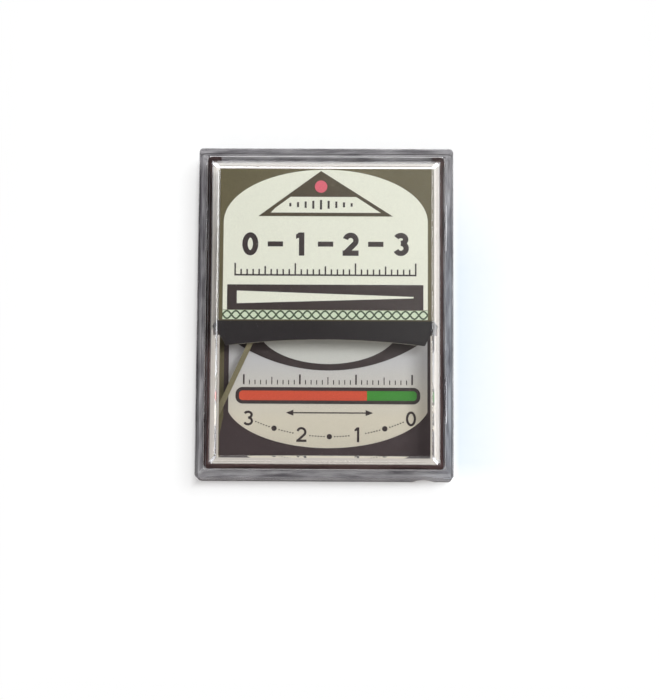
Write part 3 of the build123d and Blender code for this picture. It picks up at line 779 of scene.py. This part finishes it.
# %% Wedge and panel marks
def middle_mm(name):
    """The middle of a node, in millimetres."""
    low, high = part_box(name)
    return (low.x + high.x) / 2 / mm, (low.y + high.y) / 2 / mm


banner_x, banner_y = middle_mm("title_banner")
wedge_half, thick, thin = 17.2, 1.25, 0.15
wedge = [
    (banner_x - wedge_half, banner_y - thick), (banner_x + wedge_half, banner_y - thin),
    (banner_x + wedge_half, banner_y + thin), (banner_x - wedge_half, banner_y + thick),
]
print_shapes("banner_wedge", [wedge], "title_banner", cream)

panel_y = middle_mm("sensor_panel")[1]
mark_pitch, mark_width, mark_height, mark_drop = 1.5, 0.42, 1.9, 0.3
panel_marks = [
    bar(pivot.x / mm + mark_pitch * step, panel_y, mark_width, mark_height - mark_drop * abs(step))
    for step in range(-4, 5)
]
print_shapes("panel_marks", panel_marks, "sensor_panel", black)

triangle_low, triangle_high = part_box("sensor_triangle")
apex = Vector((pivot.x, triangle_high.y)) / mm
foot = Vector((triangle_low.x, triangle_low.y)) / mm
edge_drop, edge_foot = Vector((0, 0.75)), Vector((1.1, 0))
edge_line = [foot, apex, apex - edge_drop, foot + edge_foot]
print_shapes("triangle_edge", [edge_line], "sensor_panel", triangle_ink)


# %% [markdown]
# ## Hatching
# A strip of crossed lines closes the field at the fold. It could be a texture, but two sine
# waves drawn with the same pen, one the mirror image of the other, give its rounded meshes
# with clean edges.

# %% Hatching
strip_low, strip_high = (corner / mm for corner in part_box("hatch_strip"))
crosses, line_width, wave_steps = 23, 0.32, 8
cross_pitch = (strip_high.x - strip_low.x) / crosses
wave_middle = (strip_low.y + strip_high.y) / 2
wave_reach = (strip_high.y - strip_low.y - line_width) / 2
waves = []
for side in (-1, 1):
    wave = []
    for step in range(crosses * wave_steps + 1):
        x = strip_low.x + cross_pitch * step / wave_steps
        wave.append((x, wave_middle + side * wave_reach * sin(pi * step / wave_steps)))
    waves += stroke(wave, line_width)
hatch_ink = ink("hatch_ink", screen_colour(70, 86, 60))
print_shapes("hatch_lines", waves, "hatch_strip", hatch_ink)


# %% [markdown]
# ## White paper
# The gauge lies on white paper. Lighting paper until it looks pure white would also bleach
# the gauge. So the paper is matt and takes the gauge's shadow close by, and for whatever
# looks at it, straight or through plastic, it goes over to pure white further out. Seen
# through plastic it begins to glow 5 mm inside the box's outline: painted light under the
# walls. Behind the gauge and on its right it glows brighter than white for mirrored rays: a
# painted highlight for the bevels. The paper close to the right wall is tinted cool: painted
# shade, for light that reaches it through the plastic.

# %% Parts of the paper's recipe
half_width, half_height = cad_box[1][0] / mm, cad_box[1][1] / mm


def pure_share(tree, rays):
    """How much of the paper is pure white: little near the box, all far out."""
    near_share, far_share, near_end, far_end = 0.68, 0.32, 1.5, 40.0
    away_mm = outside_mm(tree, half_width, half_height)
    direct = maths(tree, "MAXIMUM", rays["Is Camera Ray"], rays["Is Glossy Ray"])
    far = spread(tree, away_mm, high=far_share, start=near_end, end=far_end)
    shares = []
    # Seen through plastic, the white begins 5 mm under the box: painted light under its walls.
    for seen, near_start in ((direct, 0.0), (rays["Is Transmission Ray"], -5.0)):
        near = spread(tree, away_mm, high=near_share, start=near_start, end=near_end)
        shares.append(maths(tree, "MULTIPLY", seen, maths(tree, "ADD", near, far)))
    return maths(tree, "ADD", *shares)


def painted_cool_shade_place(tree, x, y):
    """Where the painted cool shade lies: 1 close to the right wall, fading out all round."""
    return chain(
        tree, "MULTIPLY",
        spread(tree, x, start=half_width - 8, end=half_width - 1),
        spread(tree, x, 1, 0, half_width, half_width + 14),
        spread(tree, y, 1, 0, 0.3 * half_height, half_height),
        spread(tree, y, start=-half_height - 1, end=4 - half_height),
    )


def painted_highlight_strength(tree, rays, x, y):
    """Glow: 1 as seen, more when mirrored from behind or the right, as a painted highlight."""
    boost, fade_mm = 3.0, 20
    # Painted highlight: mirrored rays see the paper glow up to three times white.
    behind = spread(tree, y, high=boost, start=half_height, end=half_height + fade_mm)
    beside = spread(tree, x, high=boost, start=half_width, end=half_width + fade_mm)
    mirrored = maths(tree, "MAXIMUM", behind, beside)
    return maths(tree, "ADD", maths(tree, "MULTIPLY", rays["Is Glossy Ray"], mirrored), 1.0)


print("the box ends at", round(half_width, 2), "and", round(half_height, 2), "mm")


# %% [markdown]
# ## Floor
# The sheet of paper is one large square, just below the gauge so that the two don't share a
# plane. A curved backdrop is what a photographer would use, but a camera that looks almost
# straight down never sees where a backdrop starts to rise.

# %% Floor
def white_paper():
    """White paper that goes over to pure white away from the box, and keeps its shadow."""
    material, tree, shader, output = new_material("white_paper")
    fibres = grain(tree, 2.0, detail=3.0)
    soft, white = screen_colour(249, 249, 249), screen_colour(252, 252, 252)
    tree.links.new(blend_colours(tree, fibres, soft, white), shader.inputs["Base Color"])
    shader.inputs["Roughness"].default_value = 0.9

    x, y, z = axes_of(tree, place_in_mm(tree))
    rays = ray_kinds(tree)
    pure = tree.nodes.new("ShaderNodeEmission")
    # Painted cool shade near the right wall, and a painted highlight glow for mirrored rays.
    painted_cool_white = blend_colours(tree, painted_cool_shade_place(tree, x, y), no_tint, (0.7, 0.83, 0.93, 1), 0, 1)
    tree.links.new(painted_cool_white, pure.inputs["Color"])
    tree.links.new(painted_highlight_strength(tree, rays, x, y), pure.inputs["Strength"])
    share = pure_share(tree, rays)
    mix_shaders(tree, share, shader.outputs["BSDF"], pure.outputs["Emission"], output)
    return material


reach, gap_mm = 1.5, 0.02
corners = [(-reach, -reach, 0), (reach, -reach, 0), (reach, reach, 0), (-reach, reach, 0)]
floor_mesh = bpy.data.meshes.new("floor")
floor_mesh.from_pydata(corners, [], [range(4)])
floor_mesh.materials.append(white_paper())
floor = bpy.data.objects.new("floor", floor_mesh)
floor.location.z = -gap_mm * mm
bpy.context.scene.collection.objects.link(floor)
print("floor", 2 * reach, "m square")


# %% [markdown]
# ## Studio light
# A plain soft studio: white round the horizon, dim overhead, and a broad soft glow high on
# the right and behind, which gives the window a faint sheen towards its top right corner.
# A photographed room would do this too, but it would put its own shapes into the plastic.
# The camera sees the surroundings as plain white.

# %% Surroundings
def studio():
    """The world's light, in which the plastic's walls are mirrored."""
    world = bpy.data.worlds.new("studio")
    bpy.context.scene.world = world
    world.use_nodes = True
    tree = world.node_tree
    toward = tree.nodes.new("ShaderNodeTexCoord").outputs["Generated"]
    horizon, overhead = (0.9, 0.9, 0.92, 1), (0.05, 0.05, 0.055, 1)
    sky = blend_colours(tree, axes_of(tree, toward)["Z"], horizon, overhead, 0.02, 0.35)
    aim = tree.nodes.new("ShaderNodeVectorMath")
    aim.operation = "DOT_PRODUCT"
    aim.inputs[1].default_value = Vector((0.42, 0.5, 0.8)).normalized()
    tree.links.new(toward, aim.inputs[0])
    glow = spread(tree, aim.outputs["Value"], start=0.83, end=0.92)
    glow_colour = (0.85, 0.87, 0.83, 1)
    mirrored = tree.nodes["Background"]
    tree.links.new(mix_colours(tree, glow, sky, glow_colour), mirrored.inputs["Color"])
    seen = tree.nodes.new("ShaderNodeBackground")
    seen.inputs["Color"].default_value = no_tint
    camera_ray = ray_kinds(tree)["Is Camera Ray"]
    mix_shaders(tree, camera_ray, mirrored.outputs[0], seen.outputs[0], tree.nodes["World Output"])


studio()
print("world:", bpy.context.scene.world.name)


# %% [markdown]
# ## Lamps
# Two large square lamps do most of the lighting, so that a colour renders about as it is
# written. They stand for a window and a bright wall. One small lamp would be simpler, but
# it would throw a hard shadow and hot spots in the plastic. The right one is slightly cool
# and the front one slightly warm, as daylight and its return from a wall are.

# %% Lamps
def lamp(name, place, size, power, colour):
    """A square soft lamp, aimed at the gauge."""
    light = bpy.data.lights.new(name, "AREA")
    light.size = size
    light.energy = power
    light.color = colour
    piece = bpy.data.objects.new(name, light)
    piece.location = place
    piece.rotation_euler = (-Vector(place)).to_track_quat("-Z", "Y").to_euler()
    bpy.context.scene.collection.objects.link(piece)
    print(name, power, "W")


lamp("key_lamp", (0.45, 0.2, 0.9), size=0.5, power=9.6, colour=(0.96, 0.98, 1.0))
lamp("front_lamp", (-0.1, -0.75, 0.75), size=0.7, power=5.0, colour=(1.0, 0.98, 0.94))


# %% [markdown]
# ## Camera
# The gauge is seen from above and a little from below its foot, from 0.4 m away. The place
# and the tilt could be guessed by eye, but they were found by matching the corners of the
# window and of the case, which also fixes how deep the box looks.

# %% Camera
camera_data = bpy.data.cameras.new("camera")
camera_data.sensor_width = 36
camera_data.lens = 105.1
camera_data.clip_start = 0.01
camera = bpy.data.objects.new("camera", camera_data)
camera.rotation_mode = "ZYX"
camera.rotation_euler = (radians(8.0), radians(0.67), radians(0.29))
camera.location = (5.54 * mm, -62.8 * mm, 402.11 * mm)
bpy.context.scene.collection.objects.link(camera)
bpy.context.scene.camera = camera
bpy.context.scene.view_settings.view_transform = "Standard"
print("camera", round(camera.location.z / mm), "mm up, lens", round(camera_data.lens, 1), "mm")


# %% [markdown]
# ## Finish
# The outline of the CAD frame, measured before anything was added, is printed.

# %% Finish
print("outline of the CAD frame:", [[round(v / mm, 2) for v in corner] for corner in cad_box])
